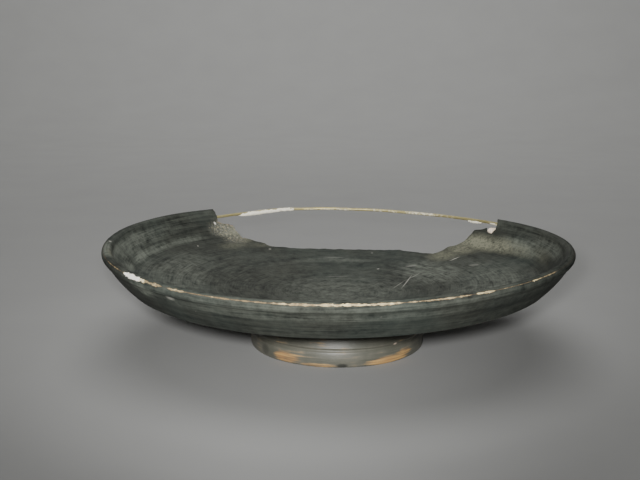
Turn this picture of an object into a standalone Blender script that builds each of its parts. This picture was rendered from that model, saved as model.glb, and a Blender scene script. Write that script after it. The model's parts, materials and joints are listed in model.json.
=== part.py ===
"""Black-gloss pottery plate on a moulded ring foot, broken at the back and bridged with a brass wire.

The plate stands on its foot at z = 0 with its turning axis on Z. The break is at +Y, and +X is to the right
of someone who faces the break over the unbroken near lip. Lengths are in metres and azimuths in degrees
from +X.
"""

import math
import random

import bmesh
import bpy
from mathutils import Vector

# Rim, lip and wall
RIM_RADIUS = 0.1105
RIM_HEIGHT = 0.0502
LIP_THICKNESS = 0.0046
WALL_THICKNESS = 0.0036
WALL_HEIGHT = 0.0169  # from the carination, the edge where the underside turns up, to the top of the lip
WALL_FLARE = 0.0113  # how far the lip reaches out past the carination
WALL_BULGE = 0.0006  # how far the middle of the wall's outer face stands out of a straight line

# Floor and underside
FLOOR_DIP = 0.0121  # how far the floor's centre lies below its edge
FLOOR_EDGE_RISE = 0.0023  # from the carination up to the floor's edge
FLOOR_THICKNESS = 0.0065  # at the centre, inside the foot
FOOT_ROOT_THICKNESS = 0.0078  # from the floor down to where the foot starts
FLAT_CENTRE_RADIUS = 0.010
FLOOR_CURVE = 1.6  # 1 is a straight cone, and more keeps the floor flat for longer
CORNER_SIZE = 0.0035  # how far the soft corner between floor and wall reaches each way
CARINATION_SOFTNESS = 0.0006
UNDERSIDE_HOLLOW = 0.0010  # how far the middle of the underside curves up from a straight line

# Foot
FOOT_RADIUS = 0.0418
FOOT_REST_WIDTH = 0.0065
FOOT_EDGE = 0.0006  # chamfer of the resting edges
FOOT_BELLY = 0.0003  # how far the lower moulding swells past its resting edge
FOOT_BELLY_HEIGHT = 0.0035
FOOT_GROOVE_HEIGHT = 0.0078
FOOT_GROOVE_WIDTH = 0.0020
FOOT_GROOVE_DEPTH = 0.0009
FOOT_RIDGE_INSET = 0.0002  # how far the ridge over the groove stays inside the foot's radius
FOOT_RIDGE_SLOPE = 0.0008  # height over which the ridge turns in towards the neck
FOOT_NECK_INSET = 0.0024  # how much narrower the foot is under the plate than at its resting edge
FOOT_ROOT_SOFTNESS = 0.0010  # of the corner between the underside and the foot
FOOT_INNER_SLOPE = 0.0030  # how much narrower the hollow in the foot is at its top than at its mouth
FOOT_INNER_SOFTNESS = 0.0030  # of the corner at the top of the hollow in the foot

# Warp of the fired clay, as height gained at the rim
WARP_LEFT = 0.0004
WARP_BACK = 0.0006
WARP_DIAGONAL = 0.0018  # half of this is gained at the back left and the near right, and lost between them
WARP_SADDLE = 0.0011  # gained at the left and right, and lost at the back and near side

# Break: each point is an azimuth and a distance from the axis as a share of the rim radius. The line starts
# outside the lip on the left, crosses wall and floor, and ends outside the lip on the right.
BREAK_LINE = (
    (126.6, 1.040),
    (129.7, 0.960),
    (130.1, 0.933),
    (125.4, 0.912),
    (124.4, 0.877),
    (122.8, 0.835),
    (118.2, 0.757),
    (117.4, 0.719),
    (105.4, 0.668),
    (92.0, 0.654),
    (78.7, 0.659),
    (61.7, 0.697),
    (50.8, 0.693),
    (46.5, 0.704),
    (45.3, 0.750),
    (45.4, 0.815),
    (42.1, 0.894),
    (40.7, 0.925),
    (36.6, 0.941),
    (35.3, 0.927),
    (33.6, 0.926),
    (32.9, 0.943),
    (33.4, 0.957),
    (36.4, 1.040),
)
BREAK_GRAIN = 0.0028  # spacing of the small steps along the break
BREAK_ROUGHNESS = 0.0004  # how far those steps stand in or out
BREAK_SEED = 7

# Wire across the gap
WIRE_DIAMETER = 0.0016
WIRE_MOUTH_LEFT = 129.3  # azimuths where it enters the lip
WIRE_MOUTH_RIGHT = 34.8
WIRE_DROP_LEFT = 0.0024  # how far below the middle of the lip it enters
WIRE_DROP_RIGHT = 0.0004
WIRE_EMBEDDED = 0.0045
WIRE_BOW = 0.0013  # how far the wire bows up over its two ends
WIRE_BOW_SHAPE = (0.0, 1.0, 0.6, 0.0, 0.0)  # share of the bow, at equal steps from left to right
WIRE_POINTS = 45
CLEARANCE = 0.0003

# Plaster left from an old repair, as azimuths along the wire
CRUST_LEFT_FROM = 121.8
CRUST_LEFT_TO = 101.5
CRUST_LEFT_RADIUS = 0.0014
CRUST_LEFT_DROP = 0.0006  # from the wire's middle down to the middle of the crust
CRUST_RIGHT_FROM = 45.8
CRUST_RIGHT_TO = 40.4
CRUST_RIGHT_RADIUS = 0.0011
CRUST_RIGHT_DROP = 0.0013
CRUST_UNEVENNESS = 0.13  # share of its radius by which a crust swells and shrinks along its length
CRUST_TIP = 0.45  # share of its radius that a crust keeps at its two tips
CRUST_GRAIN = 0.0016  # spacing of the swellings' measuring points along a crust
LUMP_AZIMUTH = 35.2
LUMP_LENGTH = 0.0066
LUMP_DEPTH = 0.0048
LUMP_HEIGHT = 0.0036
LUMP_DROP = 0.0041  # from the wire's middle down to the middle of the lump
LUMP_INSET = 0.0018  # from the wire's middle in to the middle of the lump
LUMP_SEED = 3

# Fineness of the solids
TURNING_STEPS = 80
LIP_STEPS = 10
FLOOR_STEPS = 8
WALL_STEPS = 5
UNDERSIDE_STEPS = 6
MERGE = 0.00001


def carination():
    """Radius and height of the edge between wall and underside."""
    return RIM_RADIUS - WALL_FLARE, RIM_HEIGHT - WALL_HEIGHT


def lip_middle():
    """Radius and height of the centre of the lip's round section."""
    return RIM_RADIUS - LIP_THICKNESS / 2, RIM_HEIGHT - LIP_THICKNESS / 2


def floor_edge():
    """Radius and height where the floor meets the inner face of the wall."""
    radius, height = carination()
    top_radius, top_height = lip_middle()
    slope = math.atan2(top_height - height, top_radius - radius)
    outer_radius = radius + FLOOR_EDGE_RISE / math.tan(slope)
    return outer_radius - WALL_THICKNESS / math.sin(slope), height + FLOOR_EDGE_RISE


def floor_height(radius):
    """Height of the floor's upper face at a distance from the axis."""
    edge_radius, edge_height = floor_edge()
    share = max(0.0, (radius - FLAT_CENTRE_RADIUS) / (edge_radius - FLAT_CENTRE_RADIUS))
    return edge_height - FLOOR_DIP * (1 - share**FLOOR_CURVE)


def soft_corner(before, corner, after, size, steps=3):
    """Points of a curve that rounds a corner, starting and ending a given size away from it."""
    corner = Vector(corner)
    start = corner + (Vector(before) - corner).normalized() * size
    end = corner + (Vector(after) - corner).normalized() * size
    points = []
    for step in range(steps + 1):
        t = step / steps
        points.append(start * (1 - t) ** 2 + corner * 2 * t * (1 - t) + end * t**2)
    return [tuple(point) for point in points]


def bulged(start, end, bulge, steps):
    """Points between two others on a shallow arch that stands out by the bulge, to the left of the way."""
    start, end = Vector(start), Vector(end)
    way = (end - start).normalized()
    side = Vector((-way.y, way.x))
    points = []
    for step in range(1, steps):
        t = step / steps
        points.append(tuple(start.lerp(end, t) + side * bulge * 4 * t * (1 - t)))
    return points


def upper_profile():
    """Floor, inner wall and lip, from the axis to the lip's outer underside."""
    edge = floor_edge()
    middle = Vector(lip_middle())
    foot_of_wall = Vector(carination())
    slope = math.atan2(middle.y - foot_of_wall.y, middle.x - foot_of_wall.x)
    radius = LIP_THICKNESS / 2
    spread = math.asin(min(1.0, WALL_THICKNESS / LIP_THICKNESS))
    first = slope + math.pi - spread
    last = slope - math.pi + spread
    lip = []
    for step in range(LIP_STEPS + 1):
        angle = first + (last - first) * step / LIP_STEPS
        lip.append((middle.x + radius * math.cos(angle), middle.y + radius * math.sin(angle)))
    points = [(0.0, floor_height(0.0)), (FLAT_CENTRE_RADIUS, floor_height(0.0))]
    curve_end = edge[0] - CORNER_SIZE
    for step in range(1, FLOOR_STEPS):
        at = FLAT_CENTRE_RADIUS + (curve_end - FLAT_CENTRE_RADIUS) * step / FLOOR_STEPS
        points.append((at, floor_height(at)))
    before = (curve_end, floor_height(curve_end))
    points += soft_corner(before, edge, lip[0], CORNER_SIZE)
    return points + lip


def lower_profile(lip_end):
    """Outer wall, underside, moulded foot and the hollow in it, from the lip down and back to the axis."""
    edge = carination()
    neck_radius = FOOT_RADIUS - FOOT_NECK_INSET
    root = (neck_radius + FOOT_ROOT_SOFTNESS, floor_height(neck_radius) - FOOT_ROOT_THICKNESS)
    groove_top = FOOT_GROOVE_HEIGHT + FOOT_GROOVE_WIDTH / 2
    groove_bottom = FOOT_GROOVE_HEIGHT - FOOT_GROOVE_WIDTH / 2
    groove_radius = FOOT_RADIUS - FOOT_GROOVE_DEPTH
    ridge_radius = FOOT_RADIUS - FOOT_RIDGE_INSET
    neck = (neck_radius, (root[1] + groove_top + FOOT_RIDGE_SLOPE) / 2)
    points = bulged(lip_end, edge, WALL_BULGE, WALL_STEPS)
    points += soft_corner(lip_end, edge, root, CARINATION_SOFTNESS, 2)
    points += bulged(edge, root, -UNDERSIDE_HOLLOW, UNDERSIDE_STEPS)
    points += soft_corner(edge, root, neck, FOOT_ROOT_SOFTNESS, 2)
    points += [
        neck,
        (ridge_radius - FOOT_RIDGE_SLOPE / 2, groove_top + FOOT_RIDGE_SLOPE),
        (ridge_radius, groove_top),
        (groove_radius, FOOT_GROOVE_HEIGHT + FOOT_GROOVE_WIDTH / 8),
        (groove_radius, FOOT_GROOVE_HEIGHT - FOOT_GROOVE_WIDTH / 8),
        (FOOT_RADIUS, groove_bottom),
        (FOOT_RADIUS + FOOT_BELLY, FOOT_BELLY_HEIGHT),
        (FOOT_RADIUS, FOOT_EDGE),
        (FOOT_RADIUS - FOOT_EDGE, 0.0),
    ]
    inner = FOOT_RADIUS - FOOT_REST_WIDTH
    ceiling = floor_height(0.0) - FLOOR_THICKNESS
    shoulder = (inner - FOOT_INNER_SLOPE, ceiling)
    points += [(inner + FOOT_EDGE, 0.0), (inner, FOOT_EDGE)]
    points += soft_corner((inner, FOOT_EDGE), shoulder, (0.0, ceiling), FOOT_INNER_SOFTNESS)
    points += [(FLAT_CENTRE_RADIUS, ceiling), (0.0, ceiling)]
    return points


def warped(point):
    """A point of the turned shape, moved to where the firing left it. The foot stays flat."""
    radius = math.hypot(point.x, point.y)
    neck = floor_height(FOOT_RADIUS) - FOOT_ROOT_THICKNESS
    rise = min(1.0, max(0.0, point.z / neck - 0.5) * 2)
    if radius < FOOT_RADIUS:
        rise *= radius / FOOT_RADIUS
    x, y = point.x / RIM_RADIUS, point.y / RIM_RADIUS
    lift = WARP_BACK * y - WARP_LEFT * x - WARP_DIAGONAL * x * y + WARP_SADDLE * (x * x - y * y)
    return Vector((point.x, point.y, point.z + lift * rise))


def polar(azimuth, radius, height=0.0):
    """The point at an azimuth, a distance from the axis and a height."""
    angle = math.radians(azimuth)
    return Vector((radius * math.cos(angle), radius * math.sin(angle), height))


def break_outline():
    """Plan of the missing piece, against the clock: the rough break line and a wide arc outside the rim."""
    corners = [polar(azimuth, share * RIM_RADIUS) for azimuth, share in BREAK_LINE]
    rng = random.Random(BREAK_SEED)
    points = []
    for start, end in zip(corners, corners[1:]):
        way = end - start
        side = Vector((-way.y, way.x, 0)).normalized()
        steps = max(1, round(way.length / BREAK_GRAIN))
        points.append(start)
        for step in range(1, steps):
            stand_out = rng.uniform(-BREAK_ROUGHNESS, BREAK_ROUGHNESS)
            points.append(start.lerp(end, step / steps) + side * stand_out)
    points.append(corners[-1])
    left, right = BREAK_LINE[0][0], BREAK_LINE[-1][0]
    steps = 6
    for step in range(steps + 1):
        points.append(polar(right + (left - right) * step / steps, RIM_RADIUS + RIM_HEIGHT))
    return points


def drawn_in(outline, distance):
    """An outline that runs against the clock, moved inwards by a distance."""
    moved = []
    for index, point in enumerate(outline):
        before = (point - outline[index - 1]).normalized()
        after = (outline[(index + 1) % len(outline)] - point).normalized()
        inward = Vector((-before.y - after.y, before.x + after.x, 0))
        sharpness = max(0.5, inward.length / 2)
        moved.append(point + inward.normalized() * (distance / sharpness))
    return moved


def wire_route():
    """Points along the wire's middle, from its buried left end to its buried right end."""
    ends = []
    for azimuth, drop in ((WIRE_MOUTH_LEFT, WIRE_DROP_LEFT), (WIRE_MOUTH_RIGHT, WIRE_DROP_RIGHT)):
        radius, height = lip_middle()
        base_radius, base_height = carination()
        lean = (radius - base_radius) / (height - base_height)
        ends.append((azimuth, radius - drop * lean, warped(polar(azimuth, radius, height)).z - drop))
    (left, left_radius, left_height), (right, right_radius, right_height) = ends
    points = []
    for step in range(WIRE_POINTS):
        t = step / (WIRE_POINTS - 1)
        radius = left_radius + (right_radius - left_radius) * t
        height = left_height + (right_height - left_height) * t
        height += WIRE_BOW * smooth_through(WIRE_BOW_SHAPE, t)
        points.append(polar(left + (right - left) * t, radius, height))
    start = points[0] + (points[0] - points[1]).normalized() * WIRE_EMBEDDED
    end = points[-1] + (points[-1] - points[-2]).normalized() * WIRE_EMBEDDED
    return [start, *points, end]


def smooth_through(values, t):
    """Value at t, from 0 to 1, on a smooth curve through equally spaced values."""
    place = t * (len(values) - 1)
    index = min(int(place), len(values) - 2)
    u = place - index
    a = values[max(index - 1, 0)]
    b = values[index]
    c = values[index + 1]
    d = values[min(index + 2, len(values) - 1)]
    return b + 0.5 * u * (c - a + u * (2 * a - 5 * b + 4 * c - d + u * (3 * (b - c) + d - a)))


def clear_scene():
    """Remove every object that is already there."""
    for item in list(bpy.data.objects):
        bpy.data.objects.remove(item, do_unlink=True)


def new_collection(name):
    collection = bpy.data.collections.new(name)
    bpy.context.scene.collection.children.link(collection)
    return collection


def plain_material(name, colour, roughness, metallic):
    material = bpy.data.materials.new(name)
    material.use_nodes = True
    shader = material.node_tree.nodes["Principled BSDF"]
    shader.inputs["Base Color"].default_value = (*colour, 1.0)
    shader.inputs["Roughness"].default_value = roughness
    shader.inputs["Metallic"].default_value = metallic
    material.diffuse_color = (*colour, 1.0)
    return material


def evaluated_mesh(source, name):
    """The object's shape with its modifiers or bevel applied, as a welded mesh. The object is removed."""
    bpy.context.view_layer.update()
    evaluated = source.evaluated_get(bpy.context.evaluated_depsgraph_get())
    mesh = bpy.data.meshes.new_from_object(evaluated)
    mesh.transform(source.matrix_world)
    bpy.data.objects.remove(source, do_unlink=True)
    mesh.name = name
    work = bmesh.new()
    work.from_mesh(mesh)
    bmesh.ops.remove_doubles(work, verts=work.verts, dist=MERGE)
    work.to_mesh(mesh)
    work.free()
    return mesh


def as_cutter(mesh, collection):
    """An object that only cuts others and is never seen."""
    cutter = bpy.data.objects.new(mesh.name, mesh)
    cutter.hide_render = True
    cutter.display_type = "WIRE"
    collection.objects.link(cutter)
    return cutter


def boolean(target, cutter, operation):
    """Let the cutter change the target's shape."""
    modifier = target.modifiers.new(f"{operation.lower()} {cutter.name}", "BOOLEAN")
    modifier.operation = operation
    modifier.solver = "EXACT"
    modifier.object = cutter


def shade(mesh, degrees):
    """Shade smoothly over edges that bend less than the given angle."""
    mesh.shade_smooth()
    mesh.set_sharp_from_angle(angle=math.radians(degrees))


def round_bar(name, points, radius, collection, swell=None):
    """A round bar along the points. The swell is a share of the radius for each point."""
    curve = bpy.data.curves.new(name, "CURVE")
    curve.dimensions = "3D"
    curve.bevel_depth = radius
    curve.bevel_resolution = 2
    curve.use_fill_caps = True
    spline = curve.splines.new("POLY")
    spline.points.add(len(points) - 1)
    for index, (place, point) in enumerate(zip(spline.points, points)):
        place.co = (*point, 1.0)
        place.radius = swell[index] if swell else 1.0
    bar = bpy.data.objects.new(name, curve)
    collection.objects.link(bar)
    return bar


def prism(name, outline, collection):
    """A tall upright block with the given plan, for cutting."""
    curve = bpy.data.curves.new(name, "CURVE")
    curve.dimensions = "2D"
    curve.fill_mode = "BOTH"
    curve.extrude = RIM_HEIGHT
    spline = curve.splines.new("POLY")
    spline.points.add(len(outline) - 1)
    for place, point in zip(spline.points, outline):
        place.co = (point.x, point.y, 0.0, 1.0)
    spline.use_cyclic_u = True
    block = bpy.data.objects.new(name, curve)
    block.location.z = RIM_HEIGHT / 2
    collection.objects.link(block)
    return as_cutter(evaluated_mesh(block, name), collection)


def make_plate(parts, cutters, route):
    """The whole fired-clay plate, turned, warped and broken, with a hole in each end of the lip."""
    profile = upper_profile()
    profile += lower_profile(profile[-1])
    mesh = bpy.data.meshes.new("plate profile")
    edges = [(index, index + 1) for index in range(len(profile) - 1)]
    mesh.from_pydata([(radius, 0.0, height) for radius, height in profile], edges, [])
    turned = bpy.data.objects.new("plate profile", mesh)
    parts.objects.link(turned)
    screw = turned.modifiers.new("turn", "SCREW")
    screw.axis = "Z"
    screw.steps = TURNING_STEPS
    screw.render_steps = TURNING_STEPS
    screw.use_merge_vertices = True
    screw.merge_threshold = MERGE
    body = evaluated_mesh(turned, "plate")
    for vertex in body.vertices:
        vertex.co = warped(vertex.co)
    shade(body, 35)
    plate = bpy.data.objects.new("plate", body)
    parts.objects.link(plate)
    boolean(plate, prism("missing piece", break_outline(), cutters), "DIFFERENCE")
    backwards = route[::-1]
    for name, way in (("left wire hole", route), ("right wire hole", backwards)):
        points = way[:4]
        points[0] = points[0] + (points[0] - points[1]).normalized() * CLEARANCE
        bar = round_bar(name, points, WIRE_DIAMETER / 2 + CLEARANCE, cutters)
        boolean(plate, as_cutter(evaluated_mesh(bar, name), cutters), "DIFFERENCE")
    body.materials.append(plain_material("black gloss on fired clay", (0.035, 0.038, 0.034), 0.42, 0.0))
    return plate


def make_wire(parts, route):
    """The brass wire that bridges the gap."""
    wire = round_bar("bridging_wire", route, WIRE_DIAMETER / 2, parts)
    wire.data.materials.append(plain_material("old brass", (0.42, 0.31, 0.12), 0.4, 1.0))
    return wire


def wire_point(route, azimuth):
    """The point of the wire's middle at an azimuth."""
    visible = route[1:-1]
    share = (WIRE_MOUTH_LEFT - azimuth) / (WIRE_MOUTH_LEFT - WIRE_MOUTH_RIGHT)
    place = min(max(share, 0.0), 0.999) * (len(visible) - 1)
    index = int(place)
    return visible[index].lerp(visible[index + 1], place - index)


def make_crust(name, parts, cutters, route, first, last, radius, drop, plaster):
    """Plaster that clings to the wire from below, thin at its tips, with room for the wire."""
    length = (wire_point(route, first) - wire_point(route, last)).length
    steps = max(6, round(length / CRUST_GRAIN))
    points = []
    swell = []
    for step in range(steps + 1):
        t = step / steps
        lumpy = 1 + CRUST_UNEVENNESS * (0.7 * math.sin(step * 1.9) + 0.3 * math.sin(step * 3.7 + 1))
        taper = min(1.0, CRUST_TIP + 3.0 * min(t, 1 - t))
        points.append(wire_point(route, first + (last - first) * t) - Vector((0, 0, drop)))
        swell.append(lumpy * taper)
    bar = round_bar(name, points, radius, parts, swell)
    crust = bpy.data.objects.new(name, evaluated_mesh(bar, name))
    parts.objects.link(crust)
    room = round_bar(name + " room", route, WIRE_DIAMETER / 2 + CLEARANCE, cutters)
    boolean(crust, as_cutter(evaluated_mesh(room, name + " room"), cutters), "DIFFERENCE")
    shade(crust.data, 50)
    crust.data.materials.append(plaster)
    return crust


def make_lump(parts, cutters, route, plaster):
    """The lump in the corner between the lip's broken end and the wall left below it."""
    work = bmesh.new()
    bmesh.ops.create_icosphere(work, subdivisions=2, radius=1.0)
    rng = random.Random(LUMP_SEED)
    half_size = Vector((LUMP_LENGTH, LUMP_DEPTH, LUMP_HEIGHT)) / 2
    for vertex in work.verts:
        vertex.co = half_size * vertex.co * rng.uniform(0.90, 1.06)
    mesh = bpy.data.meshes.new("plaster_lump")
    work.to_mesh(mesh)
    work.free()
    lump = bpy.data.objects.new("plaster_lump", mesh)
    lump.location = wire_point(route, LUMP_AZIMUTH) - polar(LUMP_AZIMUTH, LUMP_INSET, LUMP_DROP)
    lump.rotation_euler.z = math.radians(LUMP_AZIMUTH - 90)
    parts.objects.link(lump)
    room = prism("room for the lump", drawn_in(break_outline(), CLEARANCE), cutters)
    boolean(lump, room, "INTERSECT")
    shade(mesh, 50)
    mesh.materials.append(plaster)
    return lump


def main():
    """Build the plate, the wire and the plaster in a collection of their own."""
    clear_scene()
    parts = new_collection("Plate")
    cutters = new_collection("Cutters")
    route = wire_route()
    make_plate(parts, cutters, route)
    make_wire(parts, route)
    plaster = plain_material("old plaster", (0.72, 0.68, 0.58), 0.85, 0.0)
    make_crust("plaster_crust_left", parts, cutters, route, CRUST_LEFT_FROM, CRUST_LEFT_TO,
               CRUST_LEFT_RADIUS, CRUST_LEFT_DROP, plaster)
    make_crust("plaster_crust_right", parts, cutters, route, CRUST_RIGHT_FROM, CRUST_RIGHT_TO,
               CRUST_RIGHT_RADIUS, CRUST_RIGHT_DROP, plaster)
    make_lump(parts, cutters, route, plaster)


main()
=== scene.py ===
"""Black-gloss pottery plate on a moulded ring foot, broken at the back and bridged with a brass wire.

The plate stands on its foot at z = 0 with its turning axis on Z. The break is at +Y, and the unbroken near
lip is at -Y. Lengths are in metres and azimuths in degrees from +X.
"""

import json
import math
import random
from functools import partial

import bpy
import numpy as np
from bpy.props import FloatProperty, FloatVectorProperty, PointerProperty
from mathutils import Matrix, Vector, kdtree, noise

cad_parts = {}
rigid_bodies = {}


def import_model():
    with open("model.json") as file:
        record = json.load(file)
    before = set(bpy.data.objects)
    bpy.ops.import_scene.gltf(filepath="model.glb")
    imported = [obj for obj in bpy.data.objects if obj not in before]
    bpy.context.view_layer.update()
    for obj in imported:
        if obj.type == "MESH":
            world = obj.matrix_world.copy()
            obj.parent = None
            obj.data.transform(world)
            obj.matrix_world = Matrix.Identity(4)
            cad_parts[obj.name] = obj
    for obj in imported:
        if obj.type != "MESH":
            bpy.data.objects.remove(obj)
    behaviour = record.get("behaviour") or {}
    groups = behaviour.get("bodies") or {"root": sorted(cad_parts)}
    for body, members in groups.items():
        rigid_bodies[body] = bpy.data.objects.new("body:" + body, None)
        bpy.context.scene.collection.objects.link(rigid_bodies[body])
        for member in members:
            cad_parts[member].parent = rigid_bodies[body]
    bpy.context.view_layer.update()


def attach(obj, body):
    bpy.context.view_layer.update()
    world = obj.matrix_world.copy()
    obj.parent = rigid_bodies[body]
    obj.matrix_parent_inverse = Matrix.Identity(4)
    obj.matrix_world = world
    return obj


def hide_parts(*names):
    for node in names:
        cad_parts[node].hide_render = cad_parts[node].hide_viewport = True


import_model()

bl_info = {
    "name": "Broken black-gloss plate",
    "version": (1, 0, 0),
    "blender": (4, 5, 0),
    "location": "3D View > Sidebar > Plate",
    "description": "Builds a wheel-thrown black-gloss plate, its bridging wire and the old plaster on it",
    "category": "Add Mesh",
}

# Warp of the fired clay, as height gained at the rim
WARP_LEFT = 0.0004
WARP_BACK = 0.0006
WARP_DIAGONAL = 0.0018
WARP_SADDLE = 0.0011

# The break as azimuths and shares of the rim radius, from outside the lip on the left to outside it on the
# right. Then the spacing and depth of its splinters, and how its faces lean and are chipped and grained.
BREAK_LINE = (
    (126.6, 1.040), (129.7, 0.960), (130.1, 0.933), (125.4, 0.912), (124.4, 0.877), (122.8, 0.835),
    (118.2, 0.757), (117.4, 0.719), (105.4, 0.668), (92.0, 0.654), (78.7, 0.659), (61.7, 0.697),
    (50.8, 0.693), (46.5, 0.704), (45.3, 0.750), (45.4, 0.815), (42.1, 0.894), (40.7, 0.925),
    (36.6, 0.941), (35.3, 0.927), (33.6, 0.926), (32.9, 0.943), (33.4, 0.957), (36.4, 1.040),
)
BREAK_GRAIN = 0.0028
BREAK_ROUGHNESS = 0.0004
BREAK_SEED = 7
LIP_END_SHARE = 0.05
LIP_END_CHIP = 0.0022
BREAK_LEAN = 0.55
BREAK_LEAN_LENGTH = 0.022
BREAK_LEAN_LIMIT = 0.002
BREAK_GRAINS = ((0.00045, 0.0040), (0.00022, 0.0014))
CUTTER_BASE_SHARE = 0.2

# The wire's route, its kinks and its uneven thickness, each with the length over which it changes
WIRE_MOUTH_LEFT = 129.3
WIRE_MOUTH_RIGHT = 34.8
WIRE_DROP_LEFT = 0.0024
WIRE_DROP_RIGHT = 0.0004
WIRE_EMBEDDED = 0.0045
WIRE_BOW = 0.0013
WIRE_BOW_SHAPE = (0.0, 1.0, 0.6, 0.0, 0.0)
WIRE_KINK = 0.00022
WIRE_KINK_LENGTH = 0.016
WIRE_SWELL = 0.06
WIRE_SWELL_LENGTH = 0.0025

# Stretches of the lip where the gloss has rubbed off: middle azimuth, half its length in degrees, share of
# the full width, and how white the ground is there
LIP_WEAR = (
    (-172, 3, 0.15, 0.2),
    (-160, 2.5, 0.25, 0.2),
    (-151, 4.5, 0.45, 0.3),
    (-143, 1, 1.3, 1),
    (-141.8, 1.2, 2.00, 1),
    (-140.2, 1.4, 2.2, 1),
    (-138.5, 1.3, 1.7, 1),
    (-136.8, 1.5, 1.25, 0.7),
    (-133, 3, 1.15, 0.25),
    (-125.4, 2.2, 0.95, 0.4),
    (-119.5, 3, 0.42, 0.1),
    (-109, 8, 0.6, 0.15),
    (-99, 4, 0.85, 0.35),
    (-90, 4.5, 1.1, 0.5),
    (-83, 4, 0.9, 0.4),
    (-71, 6, 0.75, 0.3),
    (-60.5, 2, 0.85, 0.5),
    (-52, 5, 0.22, 0.4),
    (-45, 1.8, 0.55, 0.5),
    (-39.5, 2.8, 0.5, 0.4),
)

# Patches of khaki dust and lime: azimuth, radius and height of the middle, half sizes, and strength
DUST_PATCHES = (
    (126.5, 0.0995, 0.0395, 5.5, 0.0055, 0.0055, 1.1),
    (125, 0.093, 0.0355, 4.5, 0.007, 0.005, 0.8),
    (131, 0.085, 0.0335, 7, 0.005, 0.004, 0.35),
    (120.5, 0.082, 0.032, 6, 0.004, 0.003, 0.25),
    (-163, 0.107, 0.049, 5, 0.002, 0.002, 0.45),
    (41.5, 0.078, 0.0318, 6.5, 0.009, 0.0045, 0.62),
    (40, 0.0895, 0.0345, 7, 0.009, 0.0045, 0.75),
    (36, 0.097, 0.0373, 10, 0.0056, 0.006, 0.95),
    (26.5, 0.0985, 0.038, 9, 0.0048, 0.0055, 0.72),
    (16.5, 0.0992, 0.0385, 8, 0.0038, 0.0042, 0.4),
    (4, 0.101, 0.0405, 9, 0.0035, 0.0042, 0.22),
)

# Where a thin veil of dust and fine scratches dulls the gloss, partly real and partly painted light and
# painted sheen that brighten the gloss: as the dust's patches
VEILS_AND_PAINTED_LIGHT = (
    (-90, 0.108, 0.0465, 400, 0.0045, 0.006, 0.6),
    (0, 0, 0.0245, 400, 0.043, 0.015, 1.05),
    (185, 0.103, 0.044, 42, 0.006, 0.008, 1.2),
    (185, 0.08, 0.032, 45, 0.025, 0.008, 1),
    (-166, 0.1076, 0.0499, 10, 0.0032, 0.003, 1.6),
    (2, 0.104, 0.045, 16, 0.0045, 0.005, 1.1),
    (-45, 0.1, 0.036, 25, 0.008, 0.008, 0.6),
    (-137, 0.1083, 0.0455, 4.5, 0.004, 0.003, 3),
    (-20, 0.075, 0.031, 60, 0.03, 0.008, 1.2),
    (28, 0.056, 0.028, 30, 0.02, 0.008, 1.3),
    (16, 0.101, 0.0405, 14, 0.005, 0.006, 1.3),
    (90, 0.056, 0.0285, 30, 0.005, 0.008, 0.9),
    (146, 0.0975, 0.0375, 10, 0.0025, 0.003, 0.9),
    (160, 0.0975, 0.0376, 9, 0.0025, 0.003, 1.3),
    (173, 0.0978, 0.038, 9, 0.003, 0.0035, 1.6),
    (-171, 0.0985, 0.039, 8, 0.0035, 0.004, 1.6),
    (-90, 0.04, 0.03, 400, 0.09, 0.02, 0.45),
)

# Places where the surface has flaked off near the break: as the dust's patches
SPALLS = (
    (129.5, 0.0995, 0.0405, 5, 0.005, 0.006, 1),
    (127.5, 0.0925, 0.036, 4.5, 0.006, 0.005, 1),
)

# Relief of the turned plate as depths and sizes: wheel marks, unevenness, the rubbed lip and the flakes
WHEEL_MARK_DEPTH = 0.00005
WHEEL_MARK_WIDTH = 0.0032
UNEVEN_DEPTH = 0.00009
UNEVEN_LENGTH = 0.030
LIP_RUB_DEPTH = 0.00022
LIP_RUB_REACH = 0.0008
LIP_RUB_GRAIN = 0.0020
SPALL_DEPTH = 0.0003
SPALL_GRAIN = 0.0022

# Small light marks on the plate: place, direction in degrees, half sizes and strength
MARKS = (
    ((-0.0679, 0.0767, 0.0431), 0, (0.0009, 0.0007, 0.0022), 1),
    ((-0.0747, 0.0535, 0.0346), 0, (0.0006, 0.0005, 0.0022), 0.9),
    ((-0.0363, 0.066, 0.0312), 20, (0.001, 0.0007, 0.0022), 0.6),
    ((0.0225, 0.0404, 0.0264), 10, (0.0009, 0.0006, 0.0022), 0.7),
    ((0.0207, 0.0655, 0.03), 0, (0.0008, 0.0006, 0.0022), 0.35),
    ((-0.107, -0.0103, 0.05), 80, (0.0012, 0.0008, 0.0022), 0.6),
    ((0.0357, 0.0165, 0.0255), 71, (0.015, 0.0004, 0.0022), 0.45),
    ((0.031, 0.012, 0.025), 60, (0.009, 0.00035, 0.0022), 0.28),
    ((0.04, 0.024, 0.0265), 50, (0.008, 0.00035, 0.0022), 0.28),
    ((0.0005, 0.03, 0.0247), 0, (0.007, 0.0003, 0.0022), 0.25),
    ((-0.001, 0.0596, 0.0285), 0, (0.0075, 0.0007, 0.0022), 0.18),
    ((0.04, 0.041, 0.0281), 10, (0.004, 0.0018, 0.0022), 0.16),
    ((0.0712, 0.0282, 0.0315), -20, (0.0035, 0.0018, 0.0022), 0.16),
    ((0.0787, -0.0179, 0.0323), 10, (0.0024, 0.0003, 0.0022), 0.5),
    ((0.1044, -0.0005, 0.0439), 95, (0.0012, 0.0005, 0.0022), 0.4),
    ((0.0637, 0.0437, 0.0312), 34, (0.0048, 0.0003, 0.0022), 1),
    ((-0.0661, -0.0858, 0.0463), -35, (0.0034, 0.0011, 0.0022), 0.55),
    ((-0.056, -0.09, 0.043), -30, (0.0007, 0.0005, 0.0022), 0.35),
    ((0.0139, -0.1068, 0.0455), 5, (0.001, 0.0006, 0.0022), 0.15),
)

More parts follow.
